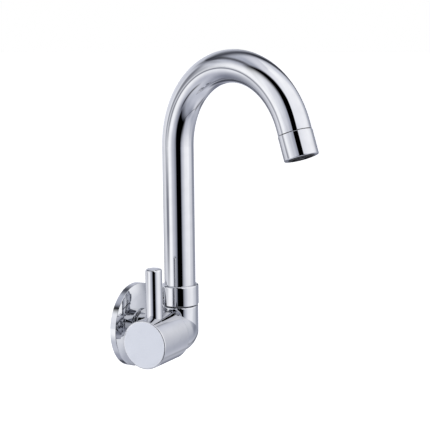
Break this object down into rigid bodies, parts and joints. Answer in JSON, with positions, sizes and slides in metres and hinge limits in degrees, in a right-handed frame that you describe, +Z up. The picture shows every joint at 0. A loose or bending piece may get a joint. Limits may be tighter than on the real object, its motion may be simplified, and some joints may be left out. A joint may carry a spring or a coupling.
{
  "type": "swivel spout sink tap",
  "caption": "Wall-mounted chromed sink tap: round flange, rounded elbow body, side hub with upright pin lever, plain collar and a high swan-neck swivel spout ending in an aerator.",
  "frame": {"origin": "on the inlet thread's axis where it crosses the finished wall plane, which is the back of the wall flange", "axes": "+Z up, +Y into the wall along the inlet axis, the room and the water side at -Y, the handle side at -X"},
  "size_m": [0.0788, 0.1751, 0.2294],
  "materials": {
    "polished_chrome": "mirror chrome plate on brass",
    "tube_chrome": "mirror chrome plate on drawn brass tube",
    "flange_chrome": "mirror chrome plate on pressed brass sheet",
    "satin_chrome": "fine satin chrome on the hub face",
    "turned_brass": "turned, not plated",
    "black_rubber": "matte black",
    "grey_foam": "soft grey foam rubber",
    "fibre": "red fibre washer board",
    "white_plastic": "moulded white acetal",
    "grey_plastic": "moulded dark grey plastic",
    "ceramic": "lapped alumina ceramic",
    "steel": "plain stainless steel"
  },
  "bodies": {
    "fixed": {"wall_flange": "flange_chrome", "flange_seal": "grey_foam", "valve_body": "polished_chrome", "seat_seal": "black_rubber", "fixed_disc": "ceramic", "cartridge_housing": "turned_brass", "housing_gasket": "fibre", "swivel_washer": "grey_plastic", "swivel_o_rings": "black_rubber", "swivel_bush": "white_plastic"},
    "handle": {"handle_hub": "polished_chrome", "hub_cap": "satin_chrome", "lever_pin": "polished_chrome", "handle_screw": "steel", "cartridge_spindle": "turned_brass", "spindle_o_rings": "black_rubber", "spindle_washer": "white_plastic", "spindle_clip": "steel", "moving_disc": "ceramic"},
    "spout": {"spout_tube": "tube_chrome", "spout_collar": "polished_chrome", "collar_screw": "steel", "outlet_ferrule": "turned_brass", "aerator_housing": "polished_chrome", "aerator_washer": "black_rubber", "aerator_insert": "grey_plastic", "aerator_diffuser": "white_plastic", "aerator_screens": "steel"}
  },
  "joints": [
    {"name": "handle_turn", "type": "hinge", "parent": "fixed", "child": "handle", "pos_m": [0, -0.04025, 0], "axis": [1, 0, 0], "range_deg": [0, 90]},
    {"name": "spout_swivel", "type": "hinge", "parent": "fixed", "child": "spout", "pos_m": [0, -0.04025, 0], "axis": [0, 0, 1], "range_deg": [-82, 117]}
  ]
}
